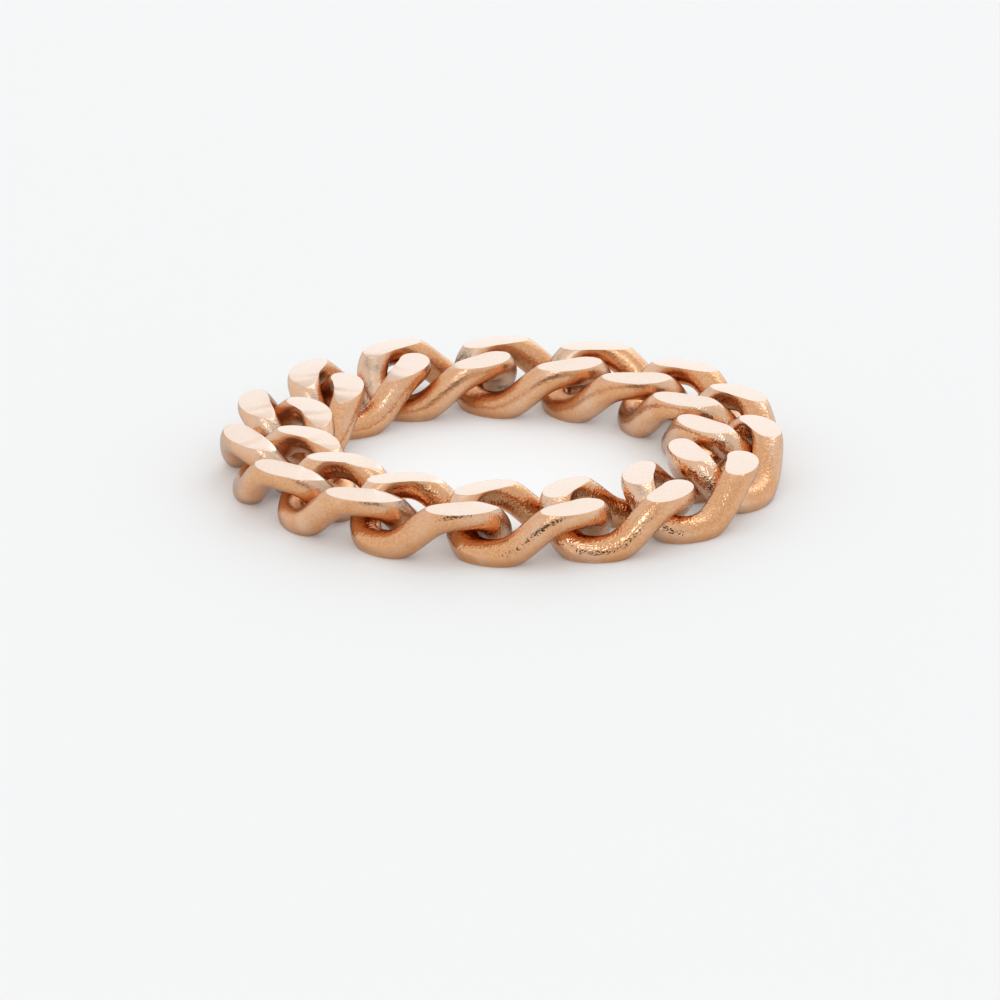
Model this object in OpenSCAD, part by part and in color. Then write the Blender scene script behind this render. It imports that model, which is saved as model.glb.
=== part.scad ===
// Curb chain finger ring, lying on one of its two flat faces.
// Every link is one round wire bent into a twisted oval and cut flat above and below, so each link
// shows an outer and an inner flat on either face. A link's own frame has x pointing out of the
// ring, y along the chain and z up, with its middle at the origin.
// Millimetres. The whole ring stands on z = 0, and the origin is under the middle of its box.

/* [Wire and link] */
// Diameter of the round wire
wire_d = 1.4; // [1.2:0.05:1.4]
// Length of one link over its ends
link_length = 7.4; // [7.4:0.05:7.6]
// Width of one link, measured from the finger outwards
link_width = 5.2; // [5.2:0.05:5.4]
// Thickness of the chain between its two flat faces
chain_thickness = 2.5; // [2.3:0.05:2.8]
// Height of the wire's centre line above the middle of the chain, where it is highest
wire_rise = 0.92; // [0.92:0.01:1]
// How level the wire runs where it is highest, from 0 for a plain wave
wire_level = 0.07; // [0.05:0.01:0.1]
// How much a link narrows towards its ends, from 0 for a plain oval
end_taper = 0.03; // [0:0.01:0.03]
// How full a link's long sides are, from 0 for a plain oval
side_fullness = 0.05; // [0.05:0.01:0.07]

/* [Smoothness] */
// Sides of the wire's section
wire_sides = 14; // [10:1:14]
// Steps round one link
link_steps = 32; // [24:4:32]

/* [Hidden] */
link_count = 15;
rose_gold = [0.86, 0.62, 0.48];

// How each link lies, in the order of its number. Links are loose, so no two lie quite alike.
// Columns: where it lies round the ring in degrees, how far its middle is from the ring's middle,
// and how far it is turned out of line with the chain in degrees.
link_poses = [
    [-109.5, 9.65, 0.5],
    [-83.5, 9.7, -3.5],
    [-59.5, 9.95, -0.5],
    [-35, 10.15, -2],
    [-11, 10.1, 1.5],
    [11.5, 10.05, 3],
    [33.5, 9.9, 1],
    [58, 9.7, 0.5],
    [82, 9.55, 1],
    [108, 9.9, -7.5],
    [131, 10.05, 3],
    [156, 10.05, -0.5],
    [178.5, 10.2, 0],
    [201.5, 10, 2.5],
    [225.5, 9.7, 1.5]
];

wire_r = wire_d / 2;
half_length = link_length / 2 - wire_r;
half_width = link_width / 2 - wire_r;
step_angle = 360 / link_steps;
side_angle = 360 / wire_sides;

function unit(v) = v / norm(v);

// The wire's centre line, at an angle round the link: an oval seen from above, which rises and
// falls twice on the way round.
function wire_centre(angle) = [
    half_width * ((1 + side_fullness) * sin(angle) + side_fullness * sin(3 * angle)),
    half_length * ((1 - end_taper) * cos(angle) + end_taper * cos(3 * angle)),
    wire_rise * ((1 + wire_level) * sin(2 * angle) + wire_level * sin(6 * angle))
];

// The direction in which the wire runs at that angle.
function wire_direction(angle) =
    unit(wire_centre(angle + step_angle / 2) - wire_centre(angle - step_angle / 2));

// The direction square to the wire that points away from the link's middle.
function wire_outward(angle) =
    let (run = wire_direction(angle), centre = wire_centre(angle), out = [centre.x, centre.y, 0])
    unit(out - (out * run) * run);

// The points of the wire's skin, one ring of them for each step round the link.
wire_points = [
    for (step = [0 : link_steps - 1])
        let (
            angle = step * step_angle,
            out = wire_outward(angle),
            across = cross(wire_direction(angle), out)
        )
        for (side = [0 : wire_sides - 1])
            wire_centre(angle) + wire_r * (cos(side * side_angle) * out + sin(side * side_angle) * across)
];

// The number of a point of the skin. Both counts run round and close on themselves.
function skin(step, side) = (step % link_steps) * wire_sides + side % wire_sides;

// Two triangles for each small panel between two rings of points.
wire_faces = [
    for (step = [0 : link_steps - 1])
        for (side = [0 : wire_sides - 1])
            for (half = [0, 1])
                half == 0
                    ? [skin(step, side), skin(step + 1, side + 1), skin(step, side + 1)]
                    : [skin(step, side), skin(step + 1, side), skin(step + 1, side + 1)]
];

// A point of a link, moved to where that link lies in the ring.
function placed(point, pose) =
    let (turn = pose[0] + pose[2])
    [
        pose[1] * cos(pose[0]) + point.x * cos(turn) - point.y * sin(turn),
        pose[1] * sin(pose[0]) + point.x * sin(turn) + point.y * cos(turn)
    ];

// The middle of the ring's box, seen from above.
ring_points = [for (pose = link_poses) for (point = wire_points) placed(point, pose)];
ring_x = [for (point = ring_points) point.x];
ring_y = [for (point = ring_points) point.y];
ring_middle = [(min(ring_x) + max(ring_x)) / 2, (min(ring_y) + max(ring_y)) / 2, 0];

// One link: the bent wire, kept only between the two flat faces.
module curb_link() {
    intersection() {
        polyhedron(points = wire_points, faces = wire_faces, convexity = 6);
        cube([link_width + wire_d, link_length + wire_d, chain_thickness], center = true);
    }
}

// A link in its place in the ring.
module placed_link(pose) {
    translate([0, 0, chain_thickness / 2] - ring_middle)
        rotate([0, 0, pose[0]])
            translate([pose[1], 0, 0])
                rotate([0, 0, pose[2]])
                    color(rose_gold)
                        curb_link();
}

for (i = [0 : link_count - 1])
    placed_link(link_poses[i]);
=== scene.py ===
import math

import bpy
import numpy as np
from bpy.props import FloatProperty, FloatVectorProperty, IntProperty, PointerProperty
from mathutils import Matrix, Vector


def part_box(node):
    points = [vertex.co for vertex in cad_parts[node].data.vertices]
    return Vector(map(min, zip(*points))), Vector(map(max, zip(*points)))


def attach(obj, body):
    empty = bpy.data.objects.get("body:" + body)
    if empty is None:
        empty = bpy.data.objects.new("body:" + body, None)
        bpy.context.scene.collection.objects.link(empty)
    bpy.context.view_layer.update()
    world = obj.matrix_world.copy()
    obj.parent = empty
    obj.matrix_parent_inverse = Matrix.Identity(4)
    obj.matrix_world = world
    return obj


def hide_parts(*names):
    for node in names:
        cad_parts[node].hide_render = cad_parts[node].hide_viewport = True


bl_info = {
    "name": "Curb chain ring",
    "version": (1, 0, 0),
    "blender": (4, 5, 0),
    "location": "3D View > Sidebar > Curb ring",
    "description": "Curb links with polished flats, closed into a finger ring, on a pale floor",
    "category": "Add Mesh",
}

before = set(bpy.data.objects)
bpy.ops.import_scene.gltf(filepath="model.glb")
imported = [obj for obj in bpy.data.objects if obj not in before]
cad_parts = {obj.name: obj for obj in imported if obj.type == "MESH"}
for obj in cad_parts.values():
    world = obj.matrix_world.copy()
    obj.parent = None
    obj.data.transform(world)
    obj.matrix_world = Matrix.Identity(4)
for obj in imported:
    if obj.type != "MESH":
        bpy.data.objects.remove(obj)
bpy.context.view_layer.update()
MM = 0.001
BODY = "root"

# How far the polish runs on past the flats of a link, down the wire where it leaves them, as a
# share of the most that the photo shows. The other links have plain flats.
POLISH_RUN = {
    "link_01": 0.7,
    "link_02": 0.2,
    "link_10": 0.4,
    "link_11": 0.8,
    "link_12": 0.9,
    "link_13": 1.0,
    "link_14": 1.0,
    "link_15": 1.0,
}
# Where that run starts, is at its deepest, starts to fade and ends, in degrees past the middle
# of a flat, along the chain.
RUN_START, RUN_FULL, RUN_FADE, RUN_END = -3, 20, 12, 43
# Where the mark of the press starts, is full, starts to fade and ends, in degrees from the middle
# of a flat, away from the link's end, and the most of the grain that the press has smoothed away.
PRESS_START, PRESS_FULL, PRESS_FADE, PRESS_END = -45, -12, 0, 28
PRESS_SMOOTHING = 0.6
# About where an upper flat starts and ends across the wire, as shares from its inner side.
FLAT_FROM, FLAT_TO = 0.06, 0.95
# How much the inner flats droop, as a share of what the outer ones do.
INNER_DROOP = 0.6
# Links whose satin is finer than that of the others, and how strong it is on them. The satin of
# a link that isn't named is finer the further its polish runs on, down to half.
FINER_GRAIN = {
    "link_02": 0.65,
    "link_06": 0.7,
    "link_07": 0.6,
    "link_08": 0.5,
    "link_09": 0.5,
    "link_10": 0.5,
}

# Patterns of the metal's skin. Columns: features in a metre, and how many finer layers are added.
PATTERNS = {
    "unevenness": (900.0, 1.0),
    "fine_grain": (10500.0, 0.0),
    "coarse_grain": (4800.0, 1.0),
    "ripples": (6000.0, 1.0),
    "drawn_lines": (5000.0, 1.0),
    "broad_sand": (1500.0, 3.0),
    "fine_sand": (9000.0, 1.0),
    "grit": (3000.0, 3.0),
    "pits": (7000.0, 2.0),
    "waves": (700.0, 1.0),
}
# Ripples are longer round the wire than along it, because distances round it count only this much.
ROUND_WIRE = 0.4
# What the colour of the wire or of a flat is multiplied by, in red, green and blue.
SPECKLE_TINT = (0.85, 0.73, 0.67)
# Painted shade on the wire near the floor.
FOOT_SHADE_TINT = (0.5, 0.38, 0.3)
PIT_TINT = (0.96, 0.96, 0.96)
# Where a change of the metal starts and where it is full: worn and the painted shade in the gaps
# by the share that the neighbours hide, the painted shade near the floor by the height above it,
# the painted shade at the silhouettes by how far the wire turns away from the eye, pit by the
# pattern, and the painted dark rim line by the depth of the metal that was ground away.
WORN_RANGE = (0.12, 0.45)
CREVICE_SHADE_RANGE = (0.34, 0.54)
FOOT_SHADE_RANGE = (0.55 * MM, 0.1 * MM)
TURNED_SHADE_RANGE = (0.5, 0.95)
PIT_RANGE = (0.35, 0.6)
RIM_LINE_SHADE_RANGE = (0.05 * MM, 0.0)


class CurbLinkSizes(bpy.types.PropertyGroup):
    """Sizes of one curb link."""

    wire_diameter: FloatProperty(
        name="Wire diameter",
        description="Diameter of the round wire",
        default=1.4 * MM,
        unit="LENGTH",
    )
    length: FloatProperty(
        name="Link length",
        description="Length of a link over its ends",
        default=7.4 * MM,
        unit="LENGTH",
    )
    width: FloatProperty(
        name="Link width",
        description="Width of a link, from the finger outwards",
        default=5.2 * MM,
        unit="LENGTH",
    )
    thickness: FloatProperty(
        name="Chain thickness",
        description="Distance between the upper and the lower flats",
        default=2.5 * MM,
        unit="LENGTH",
    )
    rise: FloatProperty(
        name="Wire rise",
        description="Height of the wire's centre line above the chain's middle, where it is highest",
        default=0.92 * MM,
        unit="LENGTH",
    )
    level: FloatProperty(
        name="Wire level",
        description="How level the wire runs where it is highest",
        default=0.07,
    )
    end_taper: FloatProperty(
        name="End taper",
        description="How much a link narrows towards its ends",
        default=0.03,
    )
    side_fullness: FloatProperty(
        name="Side fullness",
        description="How full a link's long sides are",
        default=0.05,
    )
    rim_rounding: FloatProperty(
        name="Rim rounding",
        description="Height over which the rim of a flat is rounded",
        default=0.022 * MM,
        unit="LENGTH",
    )
    polish_depth: FloatProperty(
        name="Polish depth",
        description="How deep the polish cuts into the wire where it runs on past a flat",
        default=0.3 * MM,
        unit="LENGTH",
    )
    outer_droop: FloatProperty(
        name="Outer droop",
        description="How much lower an upper flat lies along its side away from the link's middle",
        default=0.11 * MM,
        unit="LENGTH",
    )
    inner_spread: FloatProperty(
        name="Inner spread",
        description="How far the press has spread the upper inner side of the wire at a flat",
        default=0.16 * MM,
        unit="LENGTH",
    )
    unevenness: FloatProperty(
        name="Unevenness",
        description="How far the wire's skin wanders from a true round",
        default=0.008 * MM,
        unit="LENGTH",
    )
    steps: IntProperty(
        name="Steps",
        description="Rings of points round one link",
        default=256,
        min=32,
    )
    side_columns: IntProperty(
        name="Side columns",
        description="Rows of points on each side of the wire, between an upper and a lower rim",
        default=26,
        min=6,
    )
    flat_columns: IntProperty(
        name="Flat columns",
        description="Rows of points across a flat",
        default=20,
        min=6,
    )


class RoseGoldFinish(bpy.types.PropertyGroup):
    """Colours and gloss of the metal, and the colours of its painted shade and highlight."""

    wire_colour: FloatVectorProperty(
        name="Wire colour",
        description="Colour of the satin wire",
        subtype="COLOR",
        size=3,
        min=0,
        max=1,
        default=(0.812, 0.46, 0.238),
    )
    # Paler than the wire's colour: a painted highlight, for the washed-out look of the bright light
    # that the flats mirror.
    flat_highlight_colour: FloatVectorProperty(
        name="Flat colour",
        description="Colour of the polished flats",
        subtype="COLOR",
        size=3,
        min=0,
        max=1,
        default=(0.775, 0.58, 0.448),
    )
    worn_colour: FloatVectorProperty(
        name="Worn colour",
        description="Colour of the wire where the links rub on each other",
        subtype="COLOR",
        size=3,
        min=0,
        max=1,
        default=(0.84, 0.62, 0.46),
    )
    # Painted shade: the dark colour put in the gaps between the links and where the wire turns away
    # from the eye.
    painted_shade_colour: FloatVectorProperty(
        name="Crevice colour",
        description="Colour of the metal in the narrow gaps between the links",
        subtype="COLOR",
        size=3,
        min=0,
        max=1,
        default=(0.05, 0.042, 0.035),
    )
    wire_roughness: FloatProperty(
        name="Wire roughness",
        description="Roughness of the satin wire",
        subtype="FACTOR",
        default=0.1,
        min=0,
        max=1,
    )
    flat_roughness: FloatProperty(
        name="Flat roughness",
        description="Roughness of the polished flats",
        subtype="FACTOR",
        default=0.08,
        min=0,
        max=1,
    )
    wire_relief: FloatProperty(
        name="Wire relief",
        description="What the pattern of the satin is multiplied by to give its depth",
        default=0.021 * MM,
        unit="LENGTH",
    )
    flat_relief: FloatProperty(
        name="Flat relief",
        description="What the pattern of the flats is multiplied by to give its depth",
        default=0.006 * MM,
        unit="LENGTH",
    )
    worn_share: FloatProperty(
        name="Worn share",
        description="How much of the worn colour shows where the links rub on each other",
        subtype="FACTOR",
        default=0.8,
        min=0,
        max=1,
    )
    # Painted shade in the gaps between the links.
    crevice_shade_share: FloatProperty(
        name="Crevice share",
        description="How much of the crevice colour shows in the narrow gaps between the links",
        subtype="FACTOR",
        default=0.95,
        min=0,
        max=1,
    )
    # Painted shade on the wire near the floor.
    foot_shade_share: FloatProperty(
        name="Foot share",
        description="How much of the deeper colour shows where the wire is close to the floor",
        subtype="FACTOR",
        default=0.4,
        min=0,
        max=1,
    )
    # Painted shade along the silhouettes, where the wire turns away from the eye.
    turned_shade_share: FloatProperty(
        name="Turned share",
        description="How much of the crevice colour shows where the wire turns away from the eye",
        subtype="FACTOR",
        default=0.45,
        min=0,
        max=1,
    )
    # A painted dark line along the rim of a flat.
    rim_line_shade_share: FloatProperty(
        name="Rim share",
        description="How much of the wire's colour shows at the rim of a flat",
        subtype="FACTOR",
        default=0.35,
        min=0,
        max=1,
    )


class PhotoStage(bpy.types.PropertyGroup):
    """Floor, light and camera."""

    floor_colour: FloatVectorProperty(
        name="Floor colour",
        description="Colour of the plain floor",
        subtype="COLOR",
        size=3,
        min=0,
        max=1,
        default=(0.732, 0.71, 0.675),
    )
    # The floor's glow is painted light, no lamp: it makes the shadows on the floor paler.
    painted_floor_glow: FloatProperty(
        name="Floor glow",
        description="Strength of the light that comes through the floor from below",
        subtype="FACTOR",
        default=0.165,
        min=0,
        max=1,
    )
    camera_aim: FloatVectorProperty(
        name="Camera aim",
        description="The point at the front of the ring that the camera looks at",
        subtype="TRANSLATION",
        size=3,
        default=(-0.05 * MM, -10.08 * MM, 2.5 * MM),
    )
    camera_elevation: FloatProperty(
        name="Camera elevation",
        description="Angle of the camera above the horizon",
        subtype="ANGLE",
        default=math.radians(20.27),
    )
    camera_distance: FloatProperty(
        name="Camera distance",
        description="Distance from the camera to the point that it looks at",
        default=483.6 * MM,
        unit="LENGTH",
    )
    camera_lens: FloatProperty(
        name="Camera lens",
        description="Focal length of the camera, in millimetres",
        default=394.1,
    )


class Formula:
    """A node's output that Python's own signs can calculate with."""

    def __init__(self, tree, socket):
        self.tree = tree
        self.socket = socket

    def maths(self, operation, *others, clamp=False):
        node = self.tree.nodes.new("ShaderNodeMath")
        node.operation = operation
        node.use_clamp = clamp
        for place, value in zip(node.inputs, (self, *others)):
            feed(self.tree, place, value)
        return Formula(self.tree, node.outputs[0])

    def __add__(self, other):
        return self.maths("ADD", other)

    def __sub__(self, other):
        return self.maths("SUBTRACT", other)

    def __mul__(self, other):
        return self.maths("MULTIPLY", other)

    def __truediv__(self, other):
        return self.maths("DIVIDE", other)

    __radd__ = __add__
    __rmul__ = __mul__

    def __rsub__(self, other):
        return self.maths("MULTIPLY_ADD", -1, other)


def feed(tree, socket, value):
    """Links an output to the socket, or sets the socket to a plain value."""
    if isinstance(value, Formula):
        value = value.socket
    if isinstance(value, bpy.types.NodeSocket):
        tree.links.new(value, socket)
    else:
        socket.default_value = value


def add_node(tree, kind, inputs=None, **settings):
    """A new node with its settings and its inputs, which are given by name."""
    node = tree.nodes.new(kind)
    for name, value in settings.items():
        setattr(node, name, value)
    for name, value in (inputs or {}).items():
        feed(tree, node.inputs[name], value)
    return node


def sin(value):
    return value.maths("SINE")


def cos(value):
    return value.maths("COSINE")


LINK_INPUTS = {
    "Wire Diameter": "NodeSocketFloat",
    "Link Length": "NodeSocketFloat",
    "Link Width": "NodeSocketFloat",
    "Chain Thickness": "NodeSocketFloat",
    "Wire Rise": "NodeSocketFloat",
    "Wire Level": "NodeSocketFloat",
    "End Taper": "NodeSocketFloat",
    "Side Fullness": "NodeSocketFloat",
    "Rim Rounding": "NodeSocketFloat",
    "Unevenness": "NodeSocketFloat",
    "Polish Depth": "NodeSocketFloat",
    "Outer Droop": "NodeSocketFloat",
    "Inner Spread": "NodeSocketFloat",
    "Grain": "NodeSocketFloat",
    "Seed": "NodeSocketFloat",
    "Steps": "NodeSocketInt",
    "Side Columns": "NodeSocketInt",
    "Flat Columns": "NodeSocketInt",
    "Place": "NodeSocketVector",
    "Heading": "NodeSocketFloat",
    "Link Before": "NodeSocketObject",
    "Link After": "NodeSocketObject",
    "Wire Finish": "NodeSocketMaterial",
    "Flat Finish": "NodeSocketMaterial",
}


def curb_link_tree():
    """Geometry Nodes tree that bends a wire into one curb link and grinds its flats."""
    tree = bpy.data.node_groups.new("curb_link", "GeometryNodeTree")
    tree.interface.new_socket("Geometry", in_out="OUTPUT", socket_type="NodeSocketGeometry")
    for name, kind in LINK_INPUTS.items():
        tree.interface.new_socket(name, in_out="INPUT", socket_type=kind)
    given = tree.nodes.new("NodeGroupInput").outputs
    value = {name: Formula(tree, given[name]) for name in LINK_INPUTS}

    # A closed tube of the right number of points. Each point knows its step and its column.
    columns = 2 * (value["Side Columns"] + value["Flat Columns"])
    path = numbered_circle(tree, value["Steps"], "step")
    section = numbered_circle(tree, columns, "column")
    tube = add_node(tree, "GeometryNodeCurveToMesh", {"Curve": path, "Profile Curve": section})
    bent = bent_wire(tree, value, tube.outputs[0])
    smooth = add_node(tree, "GeometryNodeSetShadeSmooth", {"Geometry": bent})
    heading = combined(tree, 0.0, 0.0, value["Heading"])
    placed = add_node(
        tree,
        "GeometryNodeTransform",
        {"Geometry": smooth.outputs[0], "Translation": value["Place"], "Rotation": heading},
    )
    measured = stored(tree, placed.outputs[0], "closed_in", share_closed_in(tree, value))
    realized = add_node(tree, "GeometryNodeRealizeInstances", {"Geometry": measured})

    # Every face is wire, apart from those where the metal above was ground away.
    wire = add_node(
        tree,
        "GeometryNodeSetMaterial",
        {"Geometry": realized.outputs[0], "Material": value["Wire Finish"]},
    )
    is_flat = add_node(
        tree,
        "FunctionNodeCompare",
        {"A": named_number(tree, "above_cut"), "B": 0.0},
        data_type="FLOAT",
        operation="GREATER_THAN",
    )
    flats = add_node(
        tree,
        "GeometryNodeSetMaterial",
        {
            "Geometry": wire.outputs[0],
            "Selection": is_flat.outputs[0],
            "Material": value["Flat Finish"],
        },
    )
    output = tree.nodes.new("NodeGroupOutput")
    tree.links.new(flats.outputs[0], output.inputs[0])
    return tree


def bent_wire(tree, value, tube):
    """The tube with its points on the skin of a wire that is bent, pressed and ground flat."""
    wire_radius = value["Wire Diameter"] / 2
    half_width = value["Link Width"] / 2 - wire_radius
    half_length = value["Link Length"] / 2 - wire_radius
    half_thickness = value["Chain Thickness"] / 2
    angle = named_number(tree, "step") * (2 * math.pi) / value["Steps"]
    centre, run = centre_line(value, half_width, half_length, angle)
    inward, upward = section_axes(run)
    half_tall = wire_radius * upward[2]
    cut_height = upper_cut(value, angle, half_thickness, centre[2] + half_tall)

    # Columns of points gather at the rims, where the section meets the upper or lower cut.
    rises = (
        cut_height(FLAT_FROM) - centre[2],
        cut_height(FLAT_TO) - centre[2],
        half_thickness + centre[2],
    )
    turn = section_turn(tree, value, [rim_angle(rise / half_tall) for rise in rises])
    top = cut_height(0.5 - 0.5 * cos(turn))

    # A drawn and bent wire is never quite round, and the press has spread it beside the flats.
    skin_place = combined(tree, centre[0], centre[1], centre[2] + wire_radius * sin(turn))
    wander = 2 * noise(tree, "unevenness", skin_place, value["Seed"]) - 1
    reach = wire_radius + value["Unevenness"] * wander
    pressed = share_pressed(angle, turn)
    inwards = reach * cos(turn) + value["Inner Spread"] * pressed
    upwards = reach * sin(turn)
    height = centre[2] + upwards * upward[2]

    # The skin is ground down to both cuts, with rounded rims.
    rounding = value["Rim Rounding"]
    below_top = height.maths("SMOOTH_MIN", top, rounding)
    ground = below_top.maths("SMOOTH_MAX", -1 * half_thickness, rounding)
    above_cut = (height - top).maths("MAXIMUM", -1 * height - half_thickness)
    skin = (
        centre[0] + inwards * inward[0] + upwards * upward[0],
        centre[1] + inwards * inward[1] + upwards * upward[1],
        ground,
    )
    moved = add_node(
        tree, "GeometryNodeSetPosition", {"Geometry": tube, "Position": combined(tree, *skin)}
    )
    bent = stored(tree, moved.outputs[0], "above_cut", above_cut)
    bent = stored(tree, bent, "inside_bend", cos(turn))
    bent = stored(tree, bent, "grain", value["Grain"] * (1 - PRESS_SMOOTHING * pressed))

    # A place on the wire's skin in four numbers, so that a pattern can run along or round it.
    aside = ROUND_WIRE * wire_radius
    wire_place = (half_length * cos(angle), half_length * sin(angle), aside * cos(turn))
    bent = stored(tree, bent, "wire_place", combined(tree, *wire_place), "FLOAT_VECTOR")
    return stored(tree, bent, "wire_side", aside * sin(turn))


def centre_line(value, half_width, half_length, angle):
    """A place on the wire's centre line, and the way in which the wire runs there."""
    # Seen from above the line is an oval, and it rises and falls twice on the way round.
    full, taper, level = value["Side Fullness"], value["End Taper"], value["Wire Level"]
    centre = (
        half_width * ((1 + full) * sin(angle) + full * sin(3 * angle)),
        half_length * ((1 - taper) * cos(angle) + taper * cos(3 * angle)),
        value["Wire Rise"] * ((1 + level) * sin(2 * angle) + level * sin(6 * angle)),
    )
    run = (
        half_width * ((1 + full) * cos(angle) + 3 * full * cos(3 * angle)),
        -1 * half_length * ((1 - taper) * sin(angle) + 3 * taper * sin(3 * angle)),
        2 * value["Wire Rise"] * ((1 + level) * cos(2 * angle) + 3 * level * cos(6 * angle)),
    )
    return centre, run


def section_axes(run):
    """The section's own directions: inward is level, upward is as steep as the slope allows."""
    level_run = (run[0] * run[0] + run[1] * run[1]).maths("SQRT")
    whole_run = (level_run * level_run + run[2] * run[2]).maths("SQRT")
    inward = (run[1] / level_run, -1 * run[0] / level_run)
    slope, steepness = run[2] / whole_run, level_run / whole_run
    return inward, (inward[1] * slope, -1 * inward[0] * slope, steepness)


def upper_cut(value, angle, half_thickness, wire_top):
    """A function for the height of the upper cut at a share of the way outwards over the wire."""
    # The cut droops towards its outer side. Off the flat it stays just above the wire, but where
    # the polish runs on it sinks into the wire.
    past = past_flat(angle)
    rising = eased(past, RUN_START, RUN_FULL)
    polish = value["Polish Depth"] * rising * (1 - eased(past, RUN_FADE, RUN_END))
    softness = 1.7 * value["Polish Depth"] * rising + value["Rim Rounding"]
    clearance = 0.06 * MM
    polished_top = wire_top + clearance - 1.2 * polish
    is_outer = angle.maths("LESS_THAN", math.pi)
    droop = value["Outer Droop"] * (INNER_DROOP + (1 - INNER_DROOP) * is_outer)

    def cut_height(outwards):
        drooping = half_thickness - droop * outwards
        return drooping.maths("SMOOTH_MIN", polished_top, softness)

    return cut_height


def section_turn(tree, value, rims):
    """Angle of each column round the section, from level on the inner side over the top."""
    inner_rim, outer_rim, lower_rim = rims
    column = named_number(tree, "column")
    side, flat = value["Side Columns"], value["Flat Columns"]
    return (
        -1 * lower_rim
        + (inner_rim + lower_rim) * gathered(column / side)
        + (math.pi - inner_rim - outer_rim) * gathered((column - side) / flat)
        + (outer_rim + lower_rim) * gathered((column - side - flat) / side)
        + (math.pi - 2 * lower_rim) * gathered((column - 2 * side - flat) / flat)
    )


def share_pressed(angle, turn):
    """How much of the press's mark a place has: it is on the wire's upper inner side at a flat."""
    before = before_flat(angle)
    near = eased(before, PRESS_START, PRESS_FULL) * (1 - eased(before, PRESS_FADE, PRESS_END))
    inside, above = cos(turn).maths("MAXIMUM", 0.0), sin(turn).maths("MAXIMUM", 0.0)
    return 2 * inside * above * near


def share_closed_in(tree, value):
    """How much of what a point faces is hidden by the two links that this one hangs in."""
    neighbours = tree.nodes.new("GeometryNodeJoinGeometry")
    for name in ("Link Before", "Link After"):
        neighbour = add_node(
            tree, "GeometryNodeObjectInfo", {"Object": value[name]}, transform_space="RELATIVE"
        )
        tree.links.new(neighbour.outputs["Geometry"], neighbours.inputs[0])
    hidden = share_hidden(tree, neighbours.outputs[0])

    # So few rays make the share jump from point to point, and this evens it out.
    evened = add_node(tree, "GeometryNodeBlurAttribute", {"Value": hidden, "Iterations": 10})
    return evened.outputs[0]


def share_hidden(tree, geometry):
    """Share of rays, sent out round each point's normal, that soon meet the geometry."""
    rays, golden_turn, ray_length = 16, math.radians(137.5), 2.5 * MM
    normal = tree.nodes.new("GeometryNodeInputNormal").outputs[0]
    hits = 0.0
    for ray in range(rays):
        height = 1 - (2 * ray + 1) / rays
        reach, turn = math.sqrt(1 - height * height), ray * golden_turn
        aside = Vector((reach * math.cos(turn), reach * math.sin(turn), height))
        way = add_node(tree, "ShaderNodeVectorMath", {0: normal, 1: aside}, operation="ADD")
        cast = add_node(
            tree,
            "GeometryNodeRaycast",
            {"Target Geometry": geometry, "Ray Direction": way.outputs[0], "Ray Length": ray_length},
        )
        hits = Formula(tree, cast.outputs["Is Hit"]) * (1 / rays) + hits
    return hits


def numbered_circle(tree, points, name):
    """A closed curve whose points carry their number under that name."""
    circle = add_node(tree, "GeometryNodeCurvePrimitiveCircle", {"Resolution": points})
    number = tree.nodes.new("GeometryNodeInputIndex").outputs[0]
    return stored(tree, circle.outputs[0], name, number)


def stored(tree, geometry, name, value, data_type="FLOAT"):
    """The geometry with the value kept on its points under that name."""
    node = tree.nodes.new("GeometryNodeStoreNamedAttribute")
    node.data_type, node.domain = data_type, "POINT"
    feed(tree, node.inputs["Geometry"], geometry)
    feed(tree, node.inputs["Name"], name)
    feed(tree, node.inputs["Value"], value)
    return node.outputs[0]


def named_number(tree, name):
    """The number that the points carry under that name."""
    node = add_node(tree, "GeometryNodeInputNamedAttribute", {"Name": name}, data_type="FLOAT")
    return Formula(tree, node.outputs[0])


def combined(tree, x, y, z):
    """A vector made of three values."""
    return add_node(tree, "ShaderNodeCombineXYZ", {"X": x, "Y": y, "Z": z}).outputs[0]


def noise(tree, pattern, place, side=None):
    """A pattern of noise from 0 to 1. The side is the place's fourth number, if it has one."""
    scale, detail = PATTERNS[pattern]
    inputs = {"Vector": place, "Scale": scale, "Detail": detail}
    dimensions = "3D"
    if side is not None:
        inputs["W"] = side
        dimensions = "4D"
    node = add_node(tree, "ShaderNodeTexNoise", inputs, noise_dimensions=dimensions)
    return Formula(tree, node.outputs[0])


def rim_angle(rise):
    """Angle above the level at which a flat cuts the section, kept short of the very top."""
    steepest = math.radians(72)
    return rise.maths("MINIMUM", math.sin(steepest)).maths("MAXIMUM", 0.0).maths("ARCSINE")


def past_flat(angle):
    """How far a place on the wire is past the middle of an upper flat, along the chain."""
    outer_flat, inner_flat = math.radians(45), math.radians(225)
    outer = angle.maths("LESS_THAN", math.pi)
    return outer * (outer_flat - angle) + (1 - outer) * (angle - inner_flat)


def before_flat(angle):
    """How far a place on the wire is from the middle of an upper flat, away from the link's end."""
    return angle.maths("MODULO", math.pi) - math.radians(45)


def eased(angle, start, end):
    """0 up to the start and 1 from the end on, both in degrees, with a soft rise between."""
    start, end = math.radians(start), math.radians(end)
    share = ((angle - start) / (end - start)).maths("ADD", 0.0, clamp=True)
    return share * share * (3 - 2 * share)


def gathered(share):
    """A share of a stretch from 0 to 1, with its steps drawn together at both ends."""
    pull = 0.8
    share = share.maths("ADD", 0.0, clamp=True)
    return share - sin(share * (2 * math.pi)) * (pull / (2 * math.pi))


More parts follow.
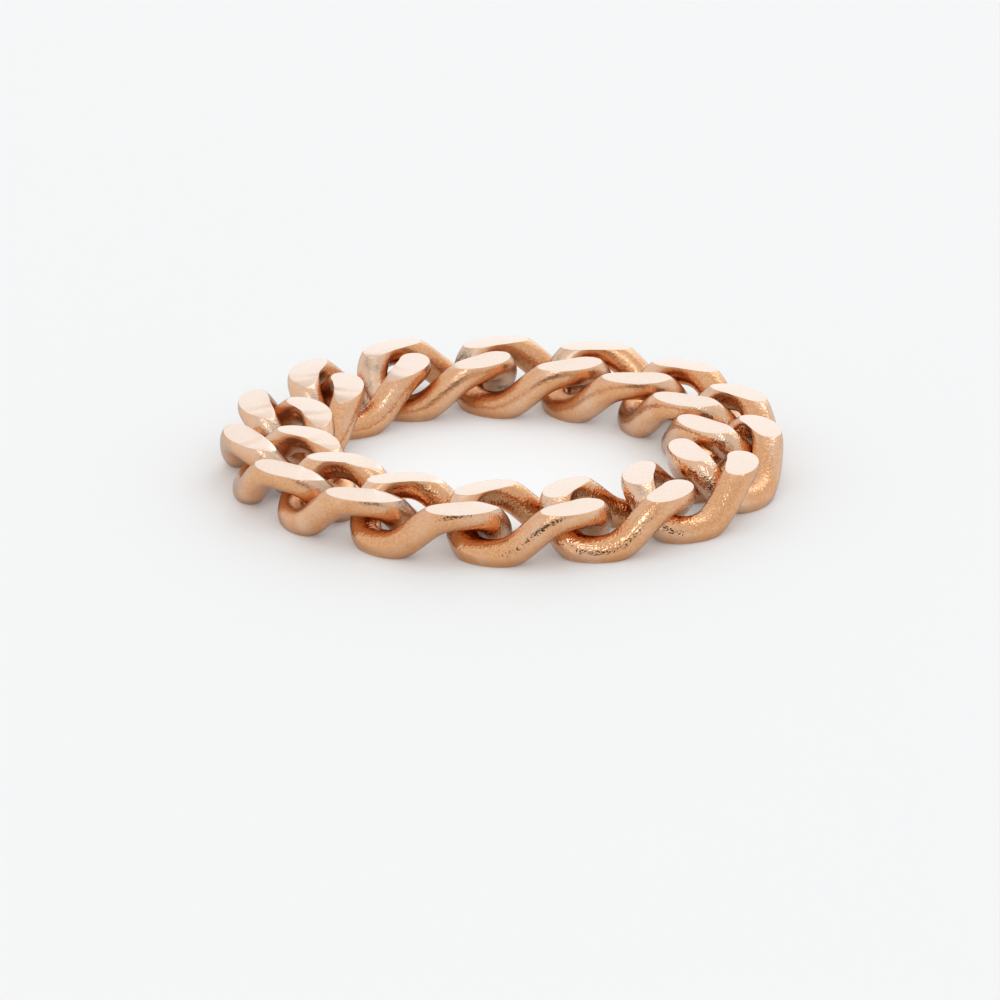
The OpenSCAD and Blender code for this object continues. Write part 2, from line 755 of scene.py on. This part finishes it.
def link_place(node):
    """Middle of a link, and its heading: how far its outward direction is turned from +X."""
    low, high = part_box(node)
    middle = (low + high) / 2

    # The points of a link spread furthest along the chain, which runs anticlockwise.
    points = np.array([vertex.co[:2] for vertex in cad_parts[node].data.vertices])
    spread = np.cov((points - np.array(middle[:2])).T)
    long_way = np.linalg.eigh(spread)[1][:, 1]
    if middle.x * long_way[1] - middle.y * long_way[0] < 0:
        long_way = -long_way
    return middle, math.atan2(long_way[1], long_way[0]) - math.pi / 2


def make_link(number, tree, inputs):
    """One link as a plain mesh, made by the tree in the place of its CAD solid."""
    names = sorted(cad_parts)
    node = names[number]
    middle, heading = link_place(node)
    run = POLISH_RUN.get(node, 0.0)
    own = {
        "Place": middle,
        "Heading": heading,
        "Seed": float(number),
        "Polish Depth": inputs["Polish Depth"] * run,
        "Grain": FINER_GRAIN.get(node, 1 - run / 2),
        "Link Before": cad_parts[names[number - 1]],
        "Link After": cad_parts[names[(number + 1) % len(names)]],
    }
    inputs = {**inputs, **own}
    holder = bpy.data.objects.new(f"{node}_holder", bpy.data.meshes.new(f"{node}_holder"))
    bpy.context.scene.collection.objects.link(holder)
    modifier = holder.modifiers.new("Curb link", "NODES")
    modifier.node_group = tree
    for item in tree.interface.items_tree:
        if item.in_out == "INPUT":
            modifier[item.identifier] = inputs[item.name]
    bpy.context.view_layer.update()
    evaluated = holder.evaluated_get(bpy.context.evaluated_depsgraph_get())
    mesh = bpy.data.meshes.new_from_object(evaluated)
    bpy.data.objects.remove(holder)
    mesh.name = f"curb_{node}"
    piece = bpy.data.objects.new(f"curb_{node}", mesh)
    bpy.context.scene.collection.objects.link(piece)
    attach(piece, BODY)
    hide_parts(node)
    return piece


def new_material(name):
    """A material with its node tree, and the tree's principled shader."""
    material = bpy.data.materials.new(name)
    material.use_nodes = True
    return material, material.node_tree, material.node_tree.nodes["Principled BSDF"]


def set_relief(tree, shader, height, depth):
    """Gives the metal a relief, which is the pattern of heights multiplied by the depth."""
    inputs = {"Height": height, "Strength": 1.0, "Distance": depth}
    bump = add_node(tree, "ShaderNodeBump", inputs)
    tree.links.new(bump.outputs[0], shader.inputs["Normal"])


def satin_wire(finish):
    """Satin metal: grainy and sandy, paler where it is worn, with painted shade in the crevices,
    near the floor and where it turns away from the eye.
    """
    material, tree, shader = new_material("satin_rose_gold")
    shader.inputs["Metallic"].default_value = 1.0
    place = add_node(tree, "ShaderNodeTexCoord").outputs["Object"]
    grain_share = Formula(tree, attribute(tree, "grain", "Fac"))
    lines = drawn_lines(tree)

    # A fine grain, with ripples across the wire inside its bends and faint lines along it.
    grain = noise(tree, "fine_grain", place) + 0.8 * noise(tree, "coarse_grain", place)
    wire_place = attribute(tree, "wire_place", "Vector")
    ripples = noise(tree, "ripples", wire_place, attribute(tree, "wire_side", "Fac"))
    inside = Formula(tree, attribute(tree, "inside_bend", "Fac"))
    ripple_share = (inside * 1.4 - 0.2).maths("ADD", 0.0, clamp=True)
    height = grain_share * (grain + ripple_share * ripples * 1.1) + 0.3 * lines
    set_relief(tree, shader, height, finish.wire_relief)

    # Small differences in the colour, a fine sandy speckle and a trace of the drawing lines.
    fine_sand = noise(tree, "fine_sand", place)
    sand = 0.5 * noise(tree, "broad_sand", place) + 2.0 * fine_sand + 0.6 * lines - 1.05
    tone = mixed(tree, sand, tinted(finish.wire_colour, SPECKLE_TINT), finish.wire_colour)

    # The metal is worn paler where the links face each other. Painted shade darkens it near the
    # floor, in the crevices between links, and where it turns away from the eye.
    closed_in = attribute(tree, "closed_in", "Fac")
    worn = graded(tree, closed_in, *WORN_RANGE) * finish.worn_share
    tone = mixed(tree, worn, tone, finish.worn_colour)
    grit = 1.4 * noise(tree, "grit", place) + 2.6 * fine_sand
    patchy = (grit - 1.2).maths("ADD", 0.0, clamp=True)
    # Painted shade, in patches, where the wire is close to the floor.
    above_floor = add_node(tree, "ShaderNodeSeparateXYZ", {0: place}).outputs[2]
    foot_shade = graded(tree, above_floor, *FOOT_SHADE_RANGE) * patchy * finish.foot_shade_share
    tone = mixed(tree, foot_shade, tone, tinted(finish.wire_colour, FOOT_SHADE_TINT))
    # Painted shade: dark colour where the neighbours hide much of what the wire faces.
    crevice_shade = graded(tree, closed_in, *CREVICE_SHADE_RANGE) * patchy
    tone = mixed(tree, crevice_shade * finish.crevice_shade_share, tone, finish.painted_shade_colour)
    # Painted shade: darker towards the silhouettes, where the wire turns away from the eye.
    facing = tree.nodes.new("ShaderNodeLayerWeight").outputs["Facing"]
    turned_shade = graded(tree, facing, *TURNED_SHADE_RANGE) * finish.turned_shade_share
    tone = mixed(tree, turned_shade, tone, finish.painted_shade_colour)
    feed(tree, shader.inputs["Base Color"], tone)

    # Satin that is too fine for the relief makes the metal duller instead.
    too_fine = (0.8 - grain_share).maths("MAXIMUM", 0.0)
    roughness = finish.wire_roughness + 0.6 * too_fine + crevice_shade * 0.15
    feed(tree, shader.inputs["Roughness"], roughness)
    return material


def drawn_lines(tree):
    """Faint lines along the wire, left by the die that it was drawn through."""
    lengthwise, round_wire = 0.12, 1 / ROUND_WIRE
    along = add_node(
        tree,
        "ShaderNodeVectorMath",
        {0: attribute(tree, "wire_place", "Vector"), 1: (lengthwise, lengthwise, round_wire)},
        operation="MULTIPLY",
    )
    side = Formula(tree, attribute(tree, "wire_side", "Fac")) * round_wire
    return noise(tree, "drawn_lines", along.outputs[0], side)


def tinted(colour, shares):
    """The colour with its red, green and blue multiplied by the shares."""
    return [share * part for share, part in zip(shares, colour)]


def graded(tree, value, start, end):
    """0 at the start and beyond, 1 at the end and beyond, with a soft rise between."""
    node = add_node(
        tree,
        "ShaderNodeMapRange",
        {"Value": value, "From Min": start, "From Max": end},
        interpolation_type="SMOOTHSTEP",
    )
    return Formula(tree, node.outputs[0])


def mixed(tree, share, first, second):
    """The first colour, and the given share of the second one."""
    node = add_node(tree, "ShaderNodeMixRGB", {"Fac": share}, use_clamp=True)
    for socket, colour in zip(node.inputs[1:], (first, second)):
        if isinstance(colour, bpy.types.NodeSocket):
            tree.links.new(colour, socket)
        else:
            socket.default_value = (*colour, 1)
    return node.outputs[0]


def attribute(tree, name, output):
    """What the link's points carry under that name."""
    return add_node(tree, "ShaderNodeAttribute", attribute_name=name).outputs[output]


def polished_flat(finish):
    """Mirror polish with the finest pits and waves, rougher at its rims, with a painted dark line
    along them.
    """
    material, tree, shader = new_material("polished_rose_gold")
    shader.inputs["Metallic"].default_value = 1.0
    place = add_node(tree, "ShaderNodeTexCoord").outputs["Object"]
    pits = noise(tree, "pits", place)
    set_relief(tree, shader, 0.1 * pits + 0.12 * noise(tree, "waves", place), finish.flat_relief)
    # The paler colour of the flats is a painted highlight.
    pitted = tinted(finish.flat_highlight_colour, PIT_TINT)
    tone = mixed(tree, graded(tree, pits, *PIT_RANGE), pitted, finish.flat_highlight_colour)
    # A painted dark line along the rim of a flat, in the wire's colour.
    rim = graded(tree, attribute(tree, "above_cut", "Fac"), *RIM_LINE_SHADE_RANGE)
    tone = mixed(tree, rim * finish.rim_line_shade_share, tone, finish.wire_colour)
    feed(tree, shader.inputs["Base Color"], tone)

    # A link with a finer satin has duller flats too.
    duller = 1 - Formula(tree, attribute(tree, "grain", "Fac"))
    roughness = finish.flat_roughness + 0.04 * pits + 0.05 * rim + 0.2 * duller
    feed(tree, shader.inputs["Roughness"], roughness)
    return material


class RING_OT_links(bpy.types.Operator):
    """Make every curb link of the ring in the place of its CAD solid"""

    bl_idname = "curb_ring.make_links"
    bl_label = "Curb links"

    def execute(self, context):
        sizes, finish = context.scene.curb_link_sizes, context.scene.rose_gold_finish
        tree = curb_link_tree()
        inputs = {
            "Wire Diameter": sizes.wire_diameter,
            "Link Length": sizes.length,
            "Link Width": sizes.width,
            "Chain Thickness": sizes.thickness,
            "Wire Rise": sizes.rise,
            "Wire Level": sizes.level,
            "End Taper": sizes.end_taper,
            "Side Fullness": sizes.side_fullness,
            "Rim Rounding": sizes.rim_rounding,
            "Unevenness": sizes.unevenness,
            "Polish Depth": sizes.polish_depth,
            "Outer Droop": sizes.outer_droop,
            "Inner Spread": sizes.inner_spread,
            "Steps": sizes.steps,
            "Side Columns": sizes.side_columns,
            "Flat Columns": sizes.flat_columns,
            "Wire Finish": satin_wire(finish),
            "Flat Finish": polished_flat(finish),
        }
        for number in range(len(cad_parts)):
            make_link(number, tree, inputs)
        return {"FINISHED"}


class RING_OT_stage(bpy.types.Operator):
    """Make the pale floor, the soft light and the camera"""

    bl_idname = "curb_ring.make_stage"
    bl_label = "Floor, light and camera"

    def execute(self, context):
        stage = context.scene.photo_stage
        make_floor(stage)
        make_tent()
        make_camera(stage)
        context.scene.view_settings.view_transform = "Standard"
        return {"FINISHED"}


def make_floor(stage):
    """A plain pale floor, whose glow is painted light that pales its shadows, a little more inside
    the ring.
    """
    half, gap_below_ring = 2.0, 0.01 * MM
    mesh = bpy.data.meshes.new("floor")
    corners = [(-half, -half), (half, -half), (half, half), (-half, half)]
    mesh.from_pydata([(x, y, -gap_below_ring) for x, y in corners], [], [(0, 1, 2, 3)])
    floor = bpy.data.objects.new("floor", mesh)
    bpy.context.scene.collection.objects.link(floor)
    material, tree, shader = new_material("pale_floor")
    shader.inputs["Base Color"].default_value = (*stage.floor_colour, 1)
    shader.inputs["Roughness"].default_value = 0.7
    shader.inputs["Emission Color"].default_value = (0.92, 0.92, 0.925, 1)
    place = add_node(tree, "ShaderNodeTexCoord").outputs["Object"]
    from_middle = add_node(tree, "ShaderNodeVectorMath", {0: place}, operation="LENGTH")
    inside = graded(tree, from_middle.outputs["Value"], 9 * MM, 5 * MM)
    # Painted light: the floor glows, a little more inside the ring, to pale its shadows.
    feed(tree, shader.inputs["Emission Strength"], stage.painted_floor_glow * (1 + 0.5 * inside))
    mesh.materials.append(material)


# What the metal mirrors. Azimuths are 0 towards the camera and grow towards the right.
# Columns: azimuth, elevation, half width, half height, softness of the edge (all in degrees),
# and the light that the panel adds in red, green and blue.
TENT_PANELS = {
    "key": (128, 61, 15, 20, 14, (0.85, 1.15, 1.4)),
    "key_side": (108, 62, 12, 22, 26, (0.3, 0.35, 0.4)),
    "low_key": (148, 25, 12, 14, 18, (0.4, 0.5, 0.6)),
    "back": (160, 14, 9, 22, 12, (0.52, 0.75, 0.95)),
    "back_middle": (179, 14, 9, 24, 10, (0.32, 0.43, 0.52)),
    "back_upper": (164, 48, 18, 12, 24, (0.25, 0.3, 0.35)),
    "left_back": (-140, 78, 30, 10, 16, (0.35, 0.45, 0.5)),
    "above_camera": (-4, 46, 9, 10, 10, (1.8, 2.5, 3.1)),
}
# Where the tent is darker: the same columns, but last the share of the light that is missing.
TENT_SHADES = {
    "camera": (0, 1, 20, 15, 5, 1.0),
    "stand": (20, 12, 26, 12, 20, 0.16),
    "front_right": (60, 35, 40, 20, 40, 0.08),
}
# Light of the tent itself in red, green and blue.
TENT_LIGHT = (0.92, 0.92, 0.94)


def make_tent():
    """A white tent all round, with brighter panels and a few darker places."""
    world = bpy.data.worlds.new("light_tent")
    bpy.context.scene.world = world
    world.use_nodes = True
    tree = world.node_tree
    place = add_node(tree, "ShaderNodeTexCoord").outputs["Generated"]
    parts = add_node(tree, "ShaderNodeSeparateXYZ", {0: place}).outputs
    x, y, z = (Formula(tree, part) for part in parts)
    azimuth = x.maths("ARCTAN2", -1 * y) * math.degrees(1)
    elevation = z.maths("ARCSINE") * math.degrees(1)
    light = combined(tree, *TENT_LIGHT)
    for panel in TENT_PANELS.values():
        shape = soft_patch(tree, azimuth, elevation, panel[:5])
        light = add_node(
            tree,
            "ShaderNodeVectorMath",
            {0: combined(tree, *panel[5]), 1: combined(tree, shape, shape, shape), 2: light},
            operation="MULTIPLY_ADD",
        ).outputs[0]
    for patch in TENT_SHADES.values():
        kept = 1 - soft_patch(tree, azimuth, elevation, patch[:5]) * patch[5]
        light = add_node(
            tree,
            "ShaderNodeVectorMath",
            {0: light, 1: combined(tree, kept, kept, kept)},
            operation="MULTIPLY",
        ).outputs[0]
    tree.links.new(light, tree.nodes["Background"].inputs["Color"])


def soft_patch(tree, azimuth, elevation, patch):
    """1 inside a patch of the tent, 0 outside it, and a soft edge between."""
    middle_azimuth, middle_elevation, half_width, half_height, softness = patch
    aside = (azimuth - middle_azimuth).maths("WRAP", 180.0, -180.0).maths("ABSOLUTE")
    above = (elevation - middle_elevation).maths("ABSOLUTE")
    shape = 1.0
    for distance, half in ((aside, half_width), (above, half_height)):
        edge = add_node(
            tree,
            "ShaderNodeMapRange",
            {"Value": distance, "From Min": half + softness / 2, "From Max": half - softness / 2},
            interpolation_type="SMOOTHSTEP",
        )
        shape = Formula(tree, edge.outputs[0]) * shape
    return shape


def make_camera(stage):
    """A long lens at the photo's angle, aimed at the front of the ring."""
    tilt = stage.camera_elevation
    back = Vector((0, -math.cos(tilt), math.sin(tilt)))
    camera = bpy.data.cameras.new("camera")
    camera.lens = stage.camera_lens
    camera.sensor_width = 36
    camera.clip_start = 0.01
    camera.clip_end = 10
    holder = bpy.data.objects.new("camera", camera)
    holder.location = Vector(stage.camera_aim) + back * stage.camera_distance
    holder.rotation_euler = (math.pi / 2 - tilt, 0, 0)
    bpy.context.scene.collection.objects.link(holder)
    bpy.context.scene.camera = holder


class RING_PT_panel(bpy.types.Panel):
    """Buttons and sizes of the ring"""

    bl_idname = "RING_PT_panel"
    bl_label = "Curb ring"
    bl_space_type = "VIEW_3D"
    bl_region_type = "UI"
    bl_category = "Curb ring"

    def draw(self, context):
        for group in ("curb_link_sizes", "rose_gold_finish", "photo_stage"):
            settings = getattr(context.scene, group)
            for name in settings.__annotations__:
                self.layout.prop(settings, name)
        self.layout.operator("curb_ring.make_links")
        self.layout.operator("curb_ring.make_stage")


CLASSES = (
    CurbLinkSizes,
    RoseGoldFinish,
    PhotoStage,
    RING_OT_links,
    RING_OT_stage,
    RING_PT_panel,
)


def register():
    for cls in CLASSES:
        bpy.utils.register_class(cls)
    bpy.types.Scene.curb_link_sizes = PointerProperty(type=CurbLinkSizes)
    bpy.types.Scene.rose_gold_finish = PointerProperty(type=RoseGoldFinish)
    bpy.types.Scene.photo_stage = PointerProperty(type=PhotoStage)


def unregister():
    del bpy.types.Scene.photo_stage
    del bpy.types.Scene.rose_gold_finish
    del bpy.types.Scene.curb_link_sizes
    for cls in reversed(CLASSES):
        bpy.utils.unregister_class(cls)


def main():
    register()
    bpy.ops.curb_ring.make_links()
    bpy.ops.curb_ring.make_stage()


if __name__ == "__main__":
    main()
